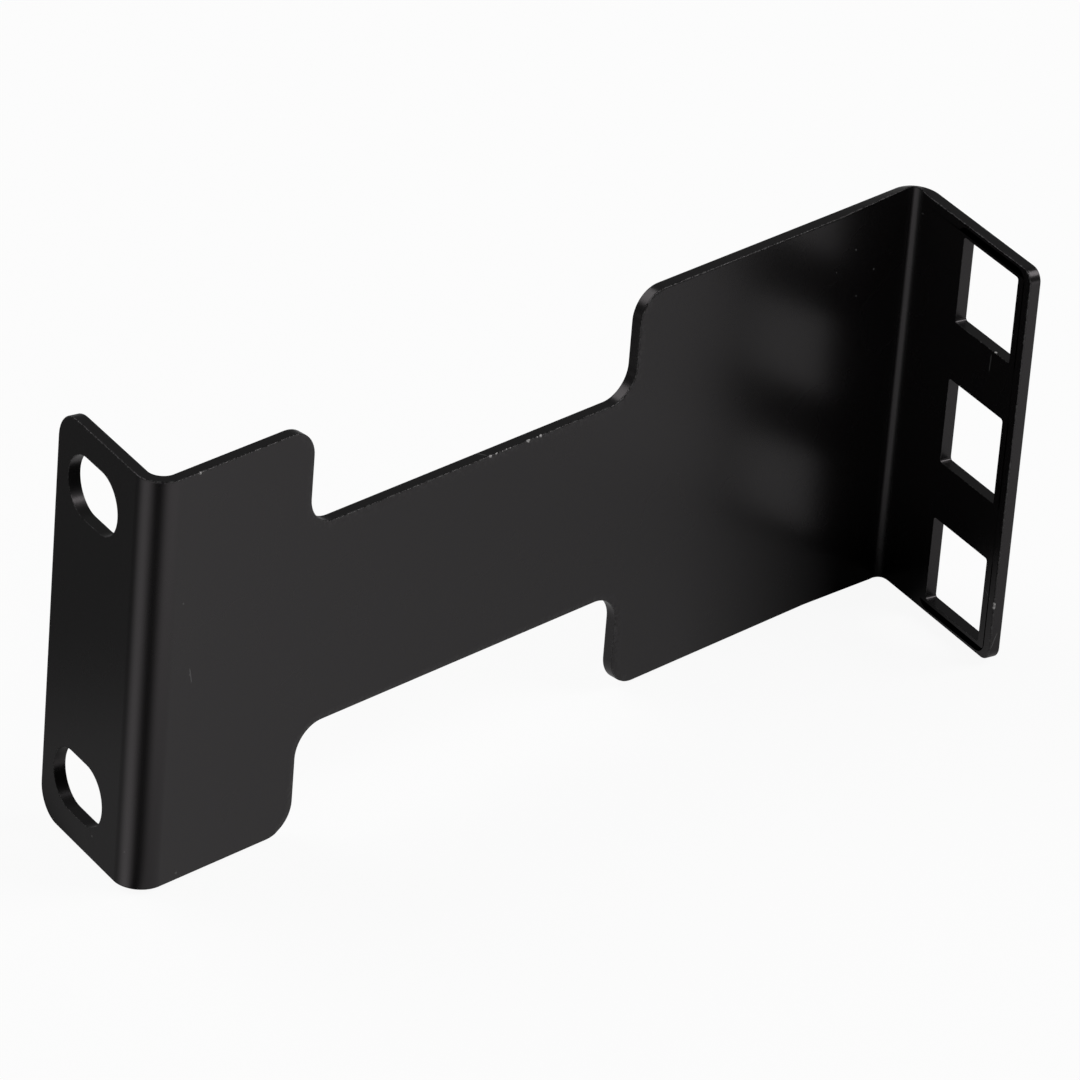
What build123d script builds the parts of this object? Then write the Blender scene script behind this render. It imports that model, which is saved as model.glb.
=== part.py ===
from build123d import *
import os
from math import cos, radians, sin, tan

# Rack depth extender, 1U high. It is one bracket of coated sheet steel, blanked, punched and folded twice.
# One flange bolts to the rack's rail and the other holds the equipment about 100 mm in front of it.
# The web runs at a slant, which brings the cage-nut holes back to about the rail's own screw line.
#
# All lengths are in millimetres. X runs along the rack's depth, from the rail to the equipment, Y runs
# across the rack, and Z is up. The origin lies on the rail face, halfway between the two rail slots.
# The front of the sheet is the side that faces -X on the rail flange, and the back is the other side.

# Sheet and folds
SHEET = 1.35  # steel with its coat on both sides
FOLD_RADIUS = 1.5  # on the inside of each fold
WEB_SLANT = 13.2  # degrees between the web and the rack's depth

# Overall
DEPTH = 101.6  # 4 inches from the rail face to the equipment face
HEIGHT = 44.2  # one rack unit of 44.45, less a little play
HOLE_PITCH = 15.875  # between a rack's holes, three to the unit

# Rail flange
RAIL_FLANGE = 18.2  # from the sharp front corner of its fold to its free edge
RAIL_CORNER = 3.2
SLOT_LENGTH = 9.5
SLOT_WIDTH = 6.5
SLOT_COUNT = 2  # at the outer two of the unit's three holes
SLOT_FROM_EDGE = 7.0  # from the free edge to the slots' centre

# Equipment flange
EQUIPMENT_FLANGE = 20.2  # from the sharp front corner of its fold to its free edge
EQUIPMENT_CORNER = 1.4
SQUARE = 9.5  # hole for a cage nut
SQUARE_CORNER = 0.3
SQUARE_COUNT = 3
SQUARE_FROM_EDGE = 6.8  # from the free edge to the holes' centre

# Neck of the web
NECK_START = 20.7  # along the web, from the sharp front corner of the rail fold
NECK_LENGTH = 43.4
NECK_HEIGHT = 22.0
NECK_RADIUS = 3.2

# Edges
OUTLINE_EDGE = 0.3  # rounded over by the blanking tool, on the front
BROKEN_EDGE = 0.15  # on the back, and on both sides of the holes

slant = radians(WEB_SLANT)
along_web = (cos(slant), sin(slant), 0)
out_of_web = (sin(slant), -cos(slant), 0)
corner_y = SLOT_FROM_EDGE - RAIL_FLANGE
cut_reach = 2 * SHEET  # of a cut to either side of its plane, which goes right through the sheet
side_band = SHEET / 10  # how far from a side of the sheet the middle of one of its faces may lie


def web_y(x, depth_in_sheet):
    """Y of the web at x, at a given depth in the sheet, counted from its front."""
    return corner_y + x * tan(slant) + depth_in_sheet / cos(slant)


equipment_edge_y = web_y(DEPTH - SHEET, 0) - EQUIPMENT_FLANGE
square_y = equipment_edge_y + SQUARE_FROM_EDGE


def side_line(depth_in_sheet):
    """Line of the sheet seen from above, at a given depth in it, from one free edge to the other."""
    rail_x = depth_in_sheet
    equipment_x = DEPTH - SHEET + depth_in_sheet
    return FilletPolyline(
        (rail_x, SLOT_FROM_EDGE),
        (rail_x, web_y(rail_x, depth_in_sheet)),
        (equipment_x, web_y(equipment_x, depth_in_sheet)),
        (equipment_x, equipment_edge_y),
        radius=[FOLD_RADIUS + SHEET - depth_in_sheet, FOLD_RADIUS + depth_in_sheet],
    )


def folded_sheet(front, back):
    """The folded strip, before anything is cut out of it."""
    ends = Line(front @ 0, back @ 0) + Line(front @ 1, back @ 1)
    section = make_face(front + back + ends)
    return extrude(section, amount=HEIGHT / 2, both=True)


def neck_gaps():
    """What the blanking tool takes out above and below the neck."""
    gap_height = (HEIGHT - NECK_HEIGHT) / 2
    middle = NECK_START + NECK_LENGTH / 2
    rise = (NECK_HEIGHT + gap_height) / 2
    gaps = Sketch() + [Pos(middle, side * rise) * Rectangle(NECK_LENGTH, gap_height) for side in (1, -1)]
    web_plane = Plane(origin=(0, corner_y, 0), x_dir=along_web, z_dir=out_of_web)
    return extrude(web_plane * gaps, amount=cut_reach, both=True)


def round_corners(sheet):
    """Rounds the steps of the neck and the free corners of both flanges."""
    sheet = fillet(sheet.edges().filter_by(Axis((0, 0, 0), out_of_web)), NECK_RADIUS)
    sheet = fillet(sheet.edges().filter_by(Axis.X).group_by(Axis.X)[0], RAIL_CORNER)
    return fillet(sheet.edges().filter_by(Axis.X).group_by(Axis.X)[-1], EQUIPMENT_CORNER)


def punched(hole, x, y, pitch, count):
    """A column of like holes through the flange at x, centred on the bracket's mid-height."""
    flange_plane = Plane(origin=(x, y, 0), x_dir=(0, 1, 0), z_dir=(1, 0, 0))
    column = Sketch() + [place * hole for place in GridLocations(0, pitch, 1, count)]
    return extrude(flange_plane * column, amount=cut_reach, both=True)


def faces_on(sheet, line):
    """Faces on one side of the sheet, which is seen from above as the line."""
    middles = [(face, face.position_at(0.5, 0.5)) for face in sheet.faces()]
    return [face for face, middle in middles if line.distance_to(Vertex(middle.X, middle.Y, 0)) < side_band]


def outline_edges(sheet, line):
    """Edges round one side of the sheet, from outside: those that only one of its faces has."""
    edges = [edge for face in faces_on(sheet, line) for edge in face.outer_wire().edges()]
    return ShapeList(edge for edge in edges if sum(edge.is_same(other) for other in edges) == 1)


def hole_edges(sheet, line):
    """Edges round the holes on one side of the sheet."""
    return ShapeList(
        edge for face in faces_on(sheet, line) for wire in face.inner_wires() for edge in wire.edges()
    )


front = side_line(0)
back = side_line(SHEET)
bracket = round_corners(folded_sheet(front, back) - neck_gaps())
bracket = fillet(outline_edges(bracket, front), OUTLINE_EDGE)
bracket = chamfer(outline_edges(bracket, back), BROKEN_EDGE)
# level slots, so that the bracket can be set sideways on the rail
bracket -= punched(SlotOverall(SLOT_LENGTH, SLOT_WIDTH), 0, 0, 2 * HOLE_PITCH, SLOT_COUNT)
# cage-nut holes at the unit's three hole places
bracket -= punched(RectangleRounded(SQUARE, SQUARE, SQUARE_CORNER), DEPTH, square_y, HOLE_PITCH, SQUARE_COUNT)
bracket = chamfer(hole_edges(bracket, front) + hole_edges(bracket, back), BROKEN_EDGE)

os.makedirs("parts", exist_ok=True)
export_step(bracket, "parts/extender_bracket.step")
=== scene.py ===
from math import ceil, cos, pi, radians, sin, tan

import bmesh
import bpy
import numpy as np
from mathutils import Matrix, Vector


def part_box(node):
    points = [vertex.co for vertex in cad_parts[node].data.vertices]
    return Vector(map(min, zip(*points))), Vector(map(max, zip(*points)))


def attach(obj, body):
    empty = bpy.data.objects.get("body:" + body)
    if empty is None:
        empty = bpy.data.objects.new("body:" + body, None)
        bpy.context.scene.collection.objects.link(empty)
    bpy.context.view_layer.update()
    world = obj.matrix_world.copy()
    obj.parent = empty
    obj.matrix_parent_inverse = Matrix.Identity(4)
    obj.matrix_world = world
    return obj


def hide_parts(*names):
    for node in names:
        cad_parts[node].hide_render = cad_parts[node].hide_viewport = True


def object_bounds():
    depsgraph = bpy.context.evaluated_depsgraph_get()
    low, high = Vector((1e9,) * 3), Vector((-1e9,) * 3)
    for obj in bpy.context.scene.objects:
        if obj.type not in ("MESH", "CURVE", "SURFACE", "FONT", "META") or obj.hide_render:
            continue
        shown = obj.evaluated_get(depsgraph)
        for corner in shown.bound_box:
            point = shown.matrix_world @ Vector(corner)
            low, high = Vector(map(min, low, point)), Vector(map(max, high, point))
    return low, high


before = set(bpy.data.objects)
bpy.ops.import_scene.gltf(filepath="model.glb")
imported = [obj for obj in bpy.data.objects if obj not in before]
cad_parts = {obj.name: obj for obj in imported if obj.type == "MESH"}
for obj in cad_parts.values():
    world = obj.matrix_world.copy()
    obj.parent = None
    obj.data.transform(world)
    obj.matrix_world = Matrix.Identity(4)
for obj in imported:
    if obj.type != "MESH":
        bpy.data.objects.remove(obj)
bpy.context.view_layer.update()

# The blank.
# A strip of 1.35 mm steel sheet, blanked with a neck in its middle part and pierced with two oblong
# slots at the rail end and three square holes for cage nuts at the equipment end.
MM = 0.001
SHEET = 1.35
FOLD_RADIUS = 1.5  # on the inside of each fold
WEB_SLANT = radians(13.2)  # between the web and the rack's depth
HOLE_PITCH = 15.875  # between a rack's holes
RAIL_FLANGE = 18.2  # from the sharp front corner of its fold to its free edge
RAIL_CORNER = 3.2
SLOT = (9.5, 6.5)  # along the strip and up
SLOT_FROM_EDGE = 7.0
EQUIPMENT_FLANGE = 20.2  # from the sharp front corner of its fold to its free edge
EQUIPMENT_CORNER = 1.4
SQUARE = 9.5
SQUARE_CORNER = 0.3
SQUARE_FROM_EDGE = 6.8
NECK_START = 20.7  # from the sharp front corner of the rail fold
NECK_LENGTH = 43.4
NECK_HEIGHT = 22.0
NECK_RADIUS = 3.2

low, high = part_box("extender_bracket")
depth = (high[0] - low[0]) / MM
half_height = (high[2] - low[2]) / MM / 2
fold_turn = pi / 2 + WEB_SLANT
mid_radius = FOLD_RADIUS + SHEET / 2
outer_setback = (FOLD_RADIUS + SHEET) * tan(fold_turn / 2)
inner_setback = FOLD_RADIUS * tan(fold_turn / 2)
web_length = (depth - SHEET) / cos(WEB_SLANT) - outer_setback - inner_setback

# where each fold starts and ends, and where the strip ends, counted from the rail flange's free edge
rail_fold = (RAIL_FLANGE - outer_setback, RAIL_FLANGE - outer_setback + fold_turn * mid_radius)
equipment_fold = (rail_fold[1] + web_length, rail_fold[1] + web_length + fold_turn * mid_radius)
strip_length = equipment_fold[1] + EQUIPMENT_FLANGE - inner_setback
neck_start = rail_fold[1] + NECK_START - outer_setback
neck_end = neck_start + NECK_LENGTH

ARC_STEP = radians(7)
FOLD_STEPS = 36
SAME_PLACE = 1e-5  # mm
SWELL_STARTS = 9.5  # before the equipment fold

# lines across the strip, at which the folds bend it and the swelling beside one of them shapes it
cross_lines = [
    start + (end - start) * step / FOLD_STEPS
    for start, end in (rail_fold, equipment_fold)
    for step in range(FOLD_STEPS + 1)
]
cross_lines += [equipment_fold[0] - away for away in np.arange(1, SWELL_STARTS)]


def outline(corners):
    """Points of a closed line with rounded corners, and the way out of the steel at each.

    The corners are given as (along, up, radius), with the steel on the left of the line.
    """
    points, ways_out = [], []
    for before, corner, after in zip(corners[-1:] + corners[:-1], corners, corners[1:] + corners[:1]):
        here = np.array(corner[:2])
        inward = here - before[:2]
        inward /= np.linalg.norm(inward)
        onward = np.array(after[:2]) - here
        onward /= np.linalg.norm(onward)
        turn = np.arctan2(inward[0] * onward[1] - inward[1] * onward[0], inward @ onward)
        radius = corner[2] * np.sign(turn)
        start = here - inward * abs(radius * tan(turn / 2))
        centre = start + radius * np.array((-inward[1], inward[0]))
        first = np.arctan2(-inward[0], inward[1])
        steps = ceil(abs(turn) / ARC_STEP)
        for angle in first + turn * np.arange(steps + 1) / steps:
            way_out = np.array((cos(angle), sin(angle)))
            points.append(centre + radius * way_out)
            ways_out.append(way_out)
    return split_at_cross_lines(points, ways_out)


def split_at_cross_lines(points, ways_out):
    """Adds a point wherever the outline crosses one of the lines across the strip."""
    finer_points, finer_ways = [], []
    for here, way_out, after in zip(points, ways_out, points[1:] + points[:1]):
        if np.allclose(here, after):
            continue
        finer_points.append(here)
        finer_ways.append(way_out)
        left, right = sorted((here[0], after[0]))
        crossed = [line for line in cross_lines if left + SAME_PLACE < line < right - SAME_PLACE]
        for line in sorted(crossed, reverse=bool(here[0] > after[0])):
            share = (line - here[0]) / (after[0] - here[0])
            finer_points.append(here + share * (after - here))
            finer_ways.append(way_out)
    return np.array(finer_points), np.array(finer_ways)


def hole(along, up, length, height, radius):
    """Outline of a hole that is given by its middle, its size and the radius of its corners."""
    left, right = along - length / 2, along + length / 2
    below, above = up - height / 2, up + height / 2
    corners = [(left, below), (left, above), (right, above), (right, below)]
    return outline([(*corner, radius) for corner in corners])


lower_edge = [
    (0.0, -half_height, RAIL_CORNER),
    (neck_start, -half_height, NECK_RADIUS),
    (neck_start, -NECK_HEIGHT / 2, NECK_RADIUS),
    (neck_end, -NECK_HEIGHT / 2, NECK_RADIUS),
    (neck_end, -half_height, NECK_RADIUS),
    (strip_length, -half_height, EQUIPMENT_CORNER),
]
upper_edge = [(along, -up, radius) for along, up, radius in reversed(lower_edge)]
rim = outline(lower_edge + upper_edge)
slots = [hole(SLOT_FROM_EDGE, side * HOLE_PITCH, *SLOT, SLOT[1] / 2) for side in (-1, 1)]
squares = [
    hole(strip_length - SQUARE_FROM_EDGE, row * HOLE_PITCH, SQUARE, SQUARE, SQUARE_CORNER)
    for row in (-1, 0, 1)
]

# The sheared edges.
# The blanking tool rounds the front of the sheet over as it shears through, and round the neck it draws
# it down into a shallow roll as well. The punched holes are crisper, and the coat softens all the edges.
ROLL_WIDTH = 1.1
NECK_ROLL = 0.05  # how deep it is round the neck
PLAIN_ROLL = 0.004  # and everywhere else
NECK_MARGIN = 2.0  # how far from the neck the deeper roll reaches
RIM_EDGE = (0.18, 0.18)  # radius of the edge on the front and on the back
HOLE_EDGE = (0.06, 0.1)
ROLL_STEPS = 8
EDGE_STEPS = 8


def edge_profile(roll, front, back):
    """Section across a sheared edge, from the front face to the back one.

    Each point is (how far in from the edge, how deep, the surface's way out, its way back).
    """
    roll_run = ROLL_WIDTH - front
    steepest = 2 * roll / roll_run
    profile = []
    for share in np.arange(ROLL_STEPS) / ROLL_STEPS:
        profile.append((ROLL_WIDTH - share * roll_run, roll * share**2, steepest * share, -1))
    first = np.arctan(steepest)
    for angle in np.linspace(first, pi / 2, EDGE_STEPS):
        deep = roll + front * (cos(first) - cos(angle))
        profile.append((front * (1 - sin(angle)), deep, sin(angle), -cos(angle)))
    for angle in np.linspace(0, pi / 2, EDGE_STEPS):
        deep = SHEET - back * (1 - sin(angle))
        profile.append((back * (1 - cos(angle)), deep, cos(angle), sin(angle)))
    return profile


blank = bmesh.new()
normal_layer = blank.verts.layers.float_vector.new("flat_normal")
arris_layer = blank.verts.layers.float.new("arris")
sheared_layer = blank.verts.layers.float.new("sheared")
front_loops, back_loops = [], []
for points, ways_out in [rim] + slots + squares:
    radii = RIM_EDGE if points is rim[0] else HOLE_EDGE
    sections = []
    for point, way_out in zip(points, ways_out):
        near_neck = neck_start - NECK_MARGIN < point[0] < neck_end + NECK_MARGIN
        roll = NECK_ROLL if near_neck else PLAIN_ROLL
        section = []
        for inset, deep, out, back in edge_profile(roll, *radii):
            along, up = point - inset * way_out
            corner = blank.verts.new((along, deep, up))
            corner[normal_layer] = (out * way_out[0], back, out * way_out[1])
            corner[arris_layer] = max(0, -2 * out * back)  # 1 where it faces half outwards, half forwards
            corner[sheared_layer] = out * out  # 1 where it faces outwards
            section.append(corner)
        sections.append(section)
    rings = list(zip(*sections))
    for ring, next_ring in zip(rings, rings[1:]):
        for left in range(len(ring)):
            right = (left + 1) % len(ring)
            blank.faces.new((ring[left], ring[right], next_ring[right], next_ring[left]))
    front_loops.append(rings[0])
    back_loops.append(rings[-1])

# the two flat faces, cut along the lines across the strip
for loops in (front_loops, back_loops):
    borders = [blank.edges.get((a, b)) for loop in loops for a, b in zip(loop, loop[1:] + loop[:1])]
    bmesh.ops.triangle_fill(blank, edges=borders, use_beauty=True)
for line in cross_lines:
    everything = blank.verts[:] + blank.edges[:] + blank.faces[:]
    bmesh.ops.bisect_plane(
        blank, geom=everything, plane_co=(line, 0, 0), plane_no=(1, 0, 0), dist=SAME_PLACE
    )
bmesh.ops.recalc_face_normals(blank, faces=blank.faces)

# The folds.
# A press brake bends the strip twice by 103 degrees, so the flanges end up parallel and the web slants.
# Its nose has creased the inside of the equipment fold, where the steel swells out a little at both ends.
CREASE_RADIUS = 0.7
# the highlight painted along the crease: how wide it is, and how far it is shifted
CREASE_HIGHLIGHT_WIDTH = 0.45
CREASE_HIGHLIGHT_SHIFT = 0.25  # towards the flange
SWELL = 0.48
SWELL_PEAK = 0.8  # past the start of the equipment fold
SWELL_FALL = 3.2  # from its peak to its end
SWELL_HEIGHT = 1.5  # how far up from the edge it reaches
NUDGE = 1e-4  # a step along the sheet that is small enough to follow its slope


def swollen(flat):
    """Moves the steel near the ends of the equipment fold outwards, most of all on its front."""
    along, deep, up = flat.T
    near_end = np.exp(-(((half_height - abs(up)) / SWELL_HEIGHT) ** 2))
    past_peak = along - equipment_fold[0] - SWELL_PEAK
    rise = np.clip(1 + past_peak / (SWELL_STARTS + SWELL_PEAK), 0, 1)
    fall = (1 + np.cos(pi * np.clip(past_peak / SWELL_FALL, 0, 1))) / 2
    swell = SWELL * rise * fall * near_end * (1 - deep / SHEET)
    return np.stack([along, deep, up + np.sign(up) * swell], 1)


def fold_path(share, radius, full_radius):
    """How far onward and sideways a face has gone by a share of the way round a fold.

    Where its radius is less than the full one, the face runs on straight before and after its arc.
    """
    spare = (full_radius - radius) * tan(fold_turn / 2)
    run = share * (2 * spare + radius * fold_turn)
    entering = np.clip(run, 0, spare)
    turned = np.clip((run - spare) / radius, 0, fold_turn)
    leaving = np.clip(run - spare - radius * fold_turn, 0, spare)
    onward = entering + radius * np.sin(turned) + leaving * cos(fold_turn)
    return onward, radius * (1 - np.cos(turned)) + leaving * sin(fold_turn)


def face_line(along, deep, rail_radii, equipment_radii):
    """Where points of one face of the strip lie, seen from above, once it is folded."""
    past_rail, past_equipment = (
        np.clip((along - start) / (end - start), 0, 1) for start, end in (rail_fold, equipment_fold)
    )
    onward, sideways = fold_path(past_rail, *rail_radii)
    x = deep + sideways
    y = SLOT_FROM_EDGE - np.minimum(along, rail_fold[0]) - onward
    onward, sideways = fold_path(past_equipment, *equipment_radii)
    onward = onward + np.clip(along - rail_fold[1], 0, web_length)
    x = x + onward * cos(WEB_SLANT) + sideways * sin(WEB_SLANT)
    y = y + onward * sin(WEB_SLANT) - sideways * cos(WEB_SLANT) - np.maximum(along - equipment_fold[1], 0)
    return np.stack([x, y])


def folded(flat):
    """Bends points of the strip, given as (along, deep, up), to where the press brake leaves them."""
    along, deep, up = swollen(flat).T
    outside = FOLD_RADIUS + SHEET
    front = face_line(along, 0, (outside, outside), (CREASE_RADIUS, FOLD_RADIUS))
    back = face_line(along, SHEET, (FOLD_RADIUS, FOLD_RADIUS), (outside, outside))
    x, y = front + (back - front) * deep / SHEET
    return np.stack([x, y, up], 1)


def folded_normals(flat, normals):
    """Turns the way each point faces along with the sheet."""
    along, deep, up = (folded(flat + NUDGE * axis) - folded(flat - NUDGE * axis) for axis in np.eye(3))
    n_along, n_deep, n_up = normals.T[:, :, None]
    turned = n_along * np.cross(deep, up) + n_deep * np.cross(up, along) + n_up * np.cross(along, deep)
    return turned / np.linalg.norm(turned, axis=1, keepdims=True)


flat = np.array([corner.co for corner in blank.verts])
flat_normals = np.array([corner[normal_layer] for corner in blank.verts])
for corner, place in zip(blank.verts, folded(flat) * MM):
    corner.co = place
sheet = bpy.data.meshes.new("extender_bracket_steel")
blank.to_mesh(sheet)
blank.free()
# a lighter line painted along the inside of the equipment fold, standing in for the highlight of its crease
crease_highlight_line = sum(equipment_fold) / 2 + CREASE_HIGHLIGHT_SHIFT
from_crease_highlight = (flat[:, 0] - crease_highlight_line) / CREASE_HIGHLIGHT_WIDTH
crease_highlight_share = np.exp(-from_crease_highlight**2) * (flat[:, 1] < SHEET / 2)
sheet.attributes.new("crease_highlight", "FLOAT", "POINT").data.foreach_set("value", crease_highlight_share)
sheet.shade_smooth()
sheet.normals_split_custom_set_from_vertices(folded_normals(flat, flat_normals))
bracket = bpy.data.objects.new("coated_bracket", sheet)
bpy.context.collection.objects.link(bracket)
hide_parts("extender_bracket")
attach(bracket, "root")

# The coat.
# Black powder coat, sprayed on and baked after folding. It is satin, with the faint orange peel that
# such a coat cures to, and it gathers into beads along the edges. Handling has chipped and scratched it.
# Lighter lines painted on the edge beads, in the equipment fold's crease and on one corner are glints.
COAT_BLACK = (0.001, 0.001, 0.001, 1)
SHEARED_BLACK = (0.007, 0.007, 0.007, 1)  # over the rough sheared edges
CREASE_HIGHLIGHT_GREY = (0.04, 0.04, 0.04, 1)  # painted highlight along the equipment fold's inner crease
COAT_TINT = (1, 0.93, 0.96, 1)
SATIN = 0.25  # its roughness
MOTTLE = 0.04  # how much rougher it is in patches
MOTTLE_PER_MM = 0.12
PEEL_PER_MM = 0.9
PEEL_DEPTH = 0.01  # mm
PEEL_STRENGTH = 0.5
BEADS_PER_MM = 2.5
BEAD_HEIGHT = 50  # times the peel's
BARE_STEEL = (0.55, 0.54, 0.53, 1)
RAGS_PER_MM = 4
RAGGED = 0.3  # mm, how far a chip's edge wanders
CORE = 0.6  # share of a mark over which it is at its strongest
# grey of dust, specks and scratches, also used for the glints painted along the edges
DUST_AND_GLINT_GREY = (0.08, 0.08, 0.08, 1)
SPECKS_PER_MM = 0.16
SPECK_SIZE = (0.02, 0.01)  # of their spacing, where a speck ends and where it is full
GLINT_BEADS = (0.45, 0.65)  # height of a bead at which the painted glint starts and is full
GLINT_SHARE = 0.7
NECK_CHIPS = (  # x and size in mm, along the upper front edge of the neck
    (37.7, 0.12), (40.0, 0.14), (40.6, 0.14), (41.1, 0.12), (43.3, 0.26), (44.1, 0.20), (44.8, 0.14),
    (45.4, 0.16), (45.9, 0.12), (47.2, 0.10), (48.3, 0.30), (49.4, 0.16), (49.9, 0.24),
)
EDGE_CHIPS = (  # place and size in mm, on the equipment flange and the rail fold
    ((100.3, -7.85, -15.3), 0.22), ((100.3, -7.85, -15.7), 0.22), ((100.4, -3.4, 11.1), 0.18),
    ((5.7, -9.8, 22.0), 0.16),
)
DUST = (  # place and size in mm
    ((0.0, -3.25, -19.5), 0.14), ((0.3, -8.9, -18.2), 0.10), ((5.5, -9.9, -21.3), 0.16),
    ((5.8, -9.8, 0.35), 0.14), ((92.1, 10.4, 17.7), 0.12), ((92.8, 10.55, 12.3), 0.12),
    ((99.4, 11.8, 11.0), 0.14), ((100.2, 11.0, 19.8), 0.16), ((100.3, -7.8, -19.5), 0.12),
)
SCRATCHES_AND_GLINT = (  # both ends in mm; the last is a painted glint
    ((42.0, 0.2, 11.0), (43.0, -0.9, 11.0)), ((100.25, -6.1, -14.4), (100.25, -7.2, -15.2)),
    ((100.25, -2.9, 10.8), (100.25, -2.8, 8.6)), ((5.7, -9.85, 1.2), (6.1, -9.75, -0.7)),
    # a painted glint along the equipment flange's lower corner, not a scratch
    ((101.1, -7.9, -18.6), (100.4, -7.9, -20.6)),
)
LINE_MARK_WIDTH = 0.08


class Wire:
    """One output of a node, on which Python's operators add Math nodes."""

    tree = None  # of the material or world that is being made

    def __init__(self, socket):
        self.socket = socket

    @classmethod
    def add(cls, kind, settings=None, inputs=None, output=0):
        """Adds a node, with its settings made first, and gives one of its outputs."""
        node = cls.tree.nodes.new(kind)
        for name, value in (settings or {}).items():
            setattr(node, name, value)
        for name, value in (inputs or {}).items():
            if isinstance(value, Wire):
                cls.tree.links.new(value.socket, node.inputs[name])
            else:
                node.inputs[name].default_value = value
        return cls(node.outputs[output]) if node.outputs else None

    def math(self, operation, *values):
        return Wire.add("ShaderNodeMath", {"operation": operation}, dict(enumerate((self, *values))))

    def __add__(self, other):
        return self.math("ADD", other)

    __radd__ = __add__

    def __sub__(self, other):
        return self.math("SUBTRACT", other)

    def __rsub__(self, other):
        return (self * -1) + other

    def __mul__(self, other):
        return self.math("MULTIPLY", other)

    __rmul__ = __mul__

    def smooth(self, start, end):
        """0 below start and 1 above end, or the other way round where end is the smaller."""
        first_value = float(start > end)
        return Wire.add("ShaderNodeMapRange", {"interpolation_type": "SMOOTHSTEP"}, {
            "Value": self,
            "From Min": min(start, end),
            "From Max": max(start, end),
            "To Min": first_value,
            "To Max": 1 - first_value,
        })


def vector(operation, *values, output="Vector"):
    return Wire.add("ShaderNodeVectorMath", {"operation": operation}, dict(enumerate(values)), output)


def mixed(share, colour, other):
    """One colour and a share of another, on the Mix node's sockets for colours."""
    return Wire.add("ShaderNodeMix", {"data_type": "RGBA"}, {0: share, 6: colour, 7: other}, output=2)


coat = bpy.data.materials.new("black powder coat")
coat.use_nodes = True
Wire.tree = coat.node_tree
Wire.tree.nodes.clear()

place = vector("MULTIPLY", Wire.add("ShaderNodeTexCoord", output="Object"), (1 / MM,) * 3)
arris = Wire.add("ShaderNodeAttribute", {"attribute_name": "arris"}, output="Fac")
sheared = Wire.add("ShaderNodeAttribute", {"attribute_name": "sheared"}, output="Fac")
crease_highlight = Wire.add("ShaderNodeAttribute", {"attribute_name": "crease_highlight"}, output="Fac")


def noise(per_mm, detail, output=0):
    inputs = {"Vector": place, "Scale": per_mm, "Detail": detail}
    return Wire.add("ShaderNodeTexNoise", inputs=inputs, output=output)


peel = noise(PEEL_PER_MM, detail=2)
mottle = noise(MOTTLE_PER_MM, detail=3)
beads = noise(BEADS_PER_MM, detail=1)
wander = noise(RAGS_PER_MM, detail=2, output="Color")
ragged = vector("ADD", place, vector("MULTIPLY_ADD", wander, (RAGGED,) * 3, (-RAGGED / 2,) * 3))


def chipped(spot, size):
    """1 out to about a given size from a spot, with a ragged edge."""
    return vector("DISTANCE", ragged, spot, output="Value").smooth(size, size * CORE)


def line_mark(start, end):
    """1 along a straight line mark from start to end, and less towards them. Most are scratches; one is a
    painted glint.
    """
    start, end = Vector(start), Vector(end)
    from_line = vector("CROSS_PRODUCT", vector("SUBTRACT", place, start), (end - start).normalized())
    near_line = vector("LENGTH", from_line, output="Value").smooth(LINE_MARK_WIDTH, LINE_MARK_WIDTH / 2)
    from_middle = vector("DISTANCE", place, (start + end) / 2, output="Value")
    half = (end - start).length / 2
    return near_line * from_middle.smooth(half, half * CORE)


corner_y = SLOT_FROM_EDGE - RAIL_FLANGE
neck_spots = [((x, corner_y + x * tan(WEB_SLANT), NECK_HEIGHT / 2), size) for x, size in NECK_CHIPS]
bare = sum(chipped(spot, size) for spot, size in [*neck_spots, *EDGE_CHIPS])
dusty = sum(chipped(spot, size) for spot, size in DUST)
scuffs_and_glint = sum(line_mark(start, end) for start, end in SCRATCHES_AND_GLINT)
specks = Wire.add("ShaderNodeTexVoronoi", inputs={"Vector": ragged, "Scale": SPECKS_PER_MM})
# glints painted as a lighter grey on the tops of the beads along the edges
painted_arris_glint = arris * beads.smooth(*GLINT_BEADS) * GLINT_SHARE

# the coat's black, a little lighter on the sheared edges, with the highlight painted along the crease
colour = mixed(crease_highlight, mixed(sheared, COAT_BLACK, SHEARED_BLACK), CREASE_HIGHLIGHT_GREY)
# dust, specks and scratches in grey, together with the painted glints on the edge beads and the flange's
# lower corner
colour = mixed(dusty + scuffs_and_glint + specks.smooth(*SPECK_SIZE) + painted_arris_glint, colour, DUST_AND_GLINT_GREY)
colour = mixed(bare, colour, BARE_STEEL)
bumps = Wire.add("ShaderNodeBump", inputs={
    "Height": peel + arris * beads * BEAD_HEIGHT,
    "Distance": PEEL_DEPTH * MM,
    "Strength": PEEL_STRENGTH,
})
surface = Wire.add("ShaderNodeBsdfPrincipled", inputs={
    "Base Color": colour,
    "Roughness": mottle * MOTTLE + SATIN,
    "Specular Tint": COAT_TINT,
    "Normal": bumps,
})
Wire.add("ShaderNodeOutputMaterial", inputs={"Surface": surface})
sheet.materials.append(coat)

# The table.
# A plain white board that the bracket stands on. For mirrored rays it glows with painted light and shade:
# bright in front of the web, and dim beyond the rail flange, in the equipment fold's crook and before the
# near fold, towards the lens.
WHITE = (1, 1, 1, 1)
OWN_WHITE = 0.93  # share of its white that the lens sees whatever shadow falls on it
TABLE_REACH = 4  # metres, to each side
DIM = 0.10
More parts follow.
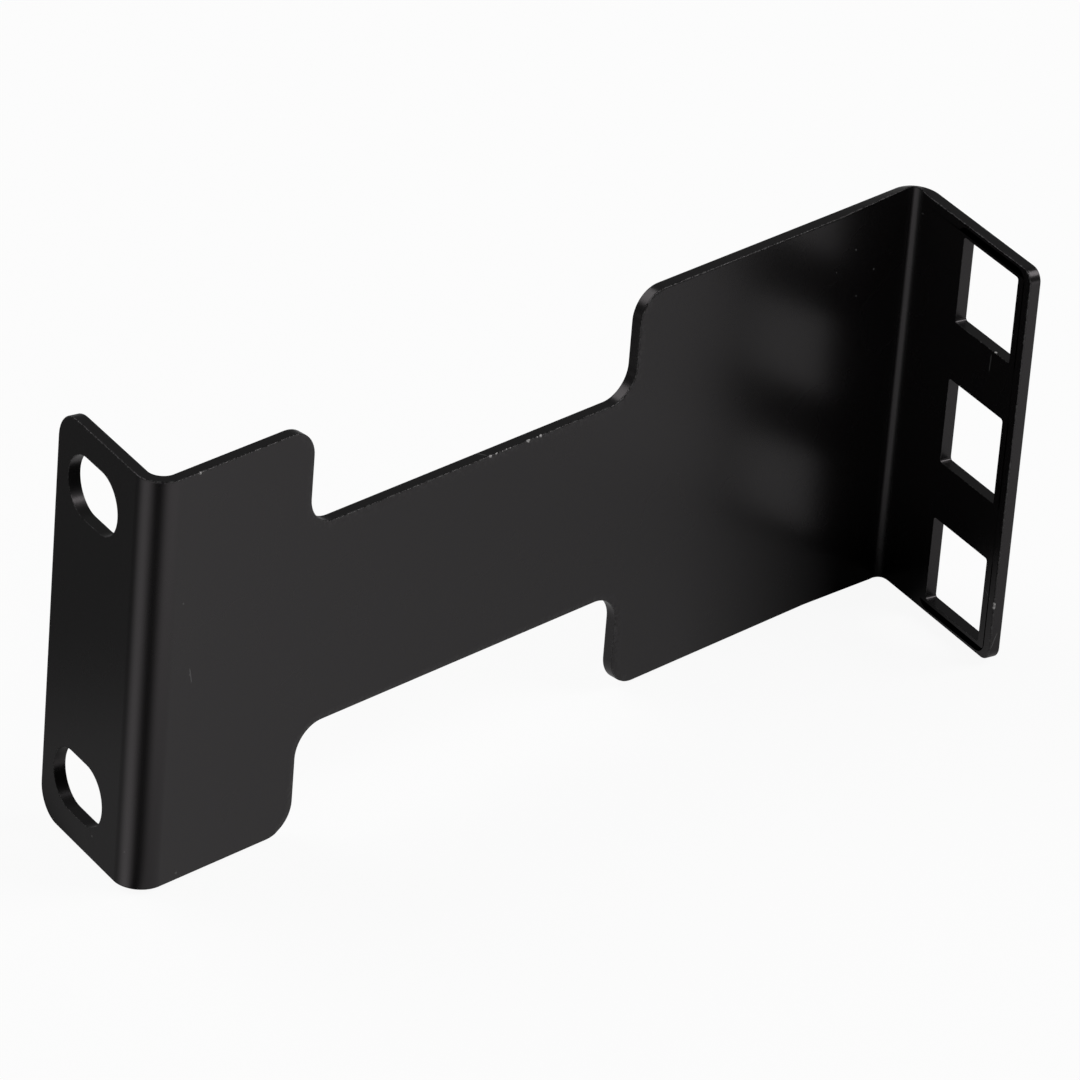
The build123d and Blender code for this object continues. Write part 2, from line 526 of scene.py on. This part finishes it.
# the light painted on the board for mirrored rays, by place, with lengths in mm and bearings in degrees
NEAR_FOLD = (1.5, -9.0)  # where the near fold mirrors from, and bearings are taken
SEAM = 96  # bearing at which they start and end
WEB_SIDE = {"rise": (236, 278), "fall": (415, 445)}
LEFT_SIDE = {"rise": (141, 183), "fall": (185, 227)}
LEFT_LIGHT = 0.92
FLANGE_FOOT = {"rise": (95, 105), "fall": (190, 230)}
FOOT_REACH = (42, 14)
FOOT_LIGHT = 0.09
FADE_BEARING = 60  # of the way in which the light fades
MIDDLE_LIGHT = 0.536  # at the origin
FADE_PER_MM = 0.0035
FADE_RANGE = (0.25, 0.75)
NEAR_LENS = (-8, -50)  # along the fade, where the light painted on the board in front of the web grows
NEAR_LENS_LIGHT = 0.18
PAST_FLANGE = (102, 108)  # across, where the painted light grows again
PAST_FLANGE_LIGHT = 0.08
INTO_CROOK = (0.51, 0.86)  # across and onward, the way in which the crook gets darker
CROOK_END = 58
CROOK_PER_MM = 0.0235
CROOK_LIGHT = 0.01
CROOK_STOPS = (101, 104)  # across, at the equipment flange
WEB_BACK = (-9, 0)  # onward from the web's line, where the crook's shade ends
table_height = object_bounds()[0][2]
table_mesh = bpy.data.meshes.new("table")
ways = ((-1, -1), (1, -1), (1, 1), (-1, 1))
corners = [(x * TABLE_REACH, y * TABLE_REACH, table_height) for x, y in ways]
table_mesh.from_pydata(corners, [], [(0, 1, 2, 3)])
table = bpy.data.objects.new("table", table_mesh)
bpy.context.collection.objects.link(table)

white = bpy.data.materials.new("white table")
white.use_nodes = True
white.cycles.emission_sampling = "NONE"
Wire.tree = white.node_tree
Wire.tree.nodes.clear()
spot = vector("MULTIPLY", Wire.add("ShaderNodeTexCoord", output="Object"), (1 / MM,) * 3)
across = Wire.add("ShaderNodeSeparateXYZ", inputs={"Vector": spot}, output="X")
onward = Wire.add("ShaderNodeSeparateXYZ", inputs={"Vector": spot}, output="Y")

# 0 towards +X, 90 towards +Y, and so on, from the seam round to it again
bearing = (onward - NEAR_FOLD[1]).math("ARCTAN2", across - NEAR_FOLD[0])
bearing = bearing.math("WRAP", radians(SEAM + 360), radians(SEAM))


def between(rise, fall):
    """1 between two bearings, with sides as soft as each pair of bearings is wide."""
    return bearing.smooth(*np.radians(rise)) * bearing.smooth(*np.radians(fall[::-1]))


faded = across * cos(radians(FADE_BEARING)) + onward * sin(radians(FADE_BEARING))
light = (MIDDLE_LIGHT - faded * FADE_PER_MM).math("MAXIMUM", FADE_RANGE[0]).math("MINIMUM", FADE_RANGE[1])
light = light + faded.smooth(*NEAR_LENS) * NEAR_LENS_LIGHT
light = light + across.smooth(*PAST_FLANGE) * PAST_FLANGE_LIGHT
web_side = between(**WEB_SIDE) * (light - DIM)
left_side = between(**LEFT_SIDE) * LEFT_LIGHT
from_flange = vector("LENGTH", vector("MULTIPLY", spot, (1, 1, 0)), output="Value")
flange_foot = between(**FLANGE_FOOT) * from_flange.smooth(*FOOT_REACH) * FOOT_LIGHT

# no part of the board is mirrored brighter than this, which paints shade into the equipment fold's crook
into_crook = across * INTO_CROOK[0] + onward * INTO_CROOK[1]
crook = ((CROOK_END - into_crook) * CROOK_PER_MM).math("MAXIMUM", CROOK_LIGHT)
behind_web = (onward - across * tan(WEB_SLANT)).smooth(*WEB_BACK)
crook = crook + across.smooth(*CROOK_STOPS) + behind_web
mirrored_light = (web_side + left_side + flange_foot + DIM).math("MINIMUM", crook)

seen = Wire.add("ShaderNodeLightPath", output="Is Camera Ray")
mirrored = Wire.add("ShaderNodeLightPath", output="Is Glossy Ray")
lit = Wire.add("ShaderNodeBsdfDiffuse", inputs={"Color": WHITE})
glow = Wire.add("ShaderNodeEmission", inputs={"Color": seen + mirrored * mirrored_light})
own_light = seen * OWN_WHITE + mirrored
table_surface = Wire.add("ShaderNodeMixShader", inputs={0: own_light, 1: lit, 2: glow})
Wire.add("ShaderNodeOutputMaterial", inputs={"Surface": table_surface})
table_mesh.materials.append(white)

# The studio.
# The room above the table is dim, and the lens sees it as white. Two softboxes on stands, one behind on
# the left and a smaller one on the right, light the upper edges.
SOFTBOX_AIM = Vector((0.05, 0, 0))
world = bpy.data.worlds.new("studio")
bpy.context.scene.world = world
world.use_nodes = True
Wire.tree = world.node_tree
Wire.tree.nodes.clear()
seen = Wire.add("ShaderNodeLightPath", output="Is Camera Ray")
background = Wire.add("ShaderNodeBackground", inputs={"Color": seen * (1 - DIM) + DIM, "Strength": 1})
Wire.add("ShaderNodeOutputWorld", inputs={"Surface": background})


def softbox(name, place, size, watts):
    data = bpy.data.lights.new(name, "AREA")
    data.size, data.energy = size, watts
    lamp = bpy.data.objects.new(name, data)
    bpy.context.collection.objects.link(lamp)
    lamp.location = place
    lamp.rotation_euler = (SOFTBOX_AIM - Vector(place)).to_track_quat("-Z", "Y").to_euler()


softbox("back softbox", place=(-0.5, 0.9, 1.1), size=1.2, watts=9)
softbox("right softbox", place=(0.9, -0.4, 0.9), size=0.7, watts=7)

# The camera.
# A long lens on a stand, at the left in front of the bracket and above it. It is turned a little about
# its own line of sight.
CAMERA_PLACE = Vector((-0.34404, -0.59184, 0.39471))
CAMERA_AIM = Vector((0.050746, 0.000536, -0.000806))
CAMERA_ROLL = radians(4.695)
LENS = 279.23
SENSOR = 36
camera_data = bpy.data.cameras.new("camera")
camera_data.lens = LENS
camera_data.sensor_width = SENSOR
camera = bpy.data.objects.new("camera", camera_data)
bpy.context.collection.objects.link(camera)
facing = (CAMERA_AIM - CAMERA_PLACE).to_track_quat("-Z", "Y").to_matrix()
turned = facing @ Matrix.Rotation(CAMERA_ROLL, 3, "Z")
camera.matrix_world = Matrix.Translation(CAMERA_PLACE) @ turned.to_4x4()
bpy.context.scene.camera = camera
bpy.context.scene.view_settings.view_transform = "Standard"
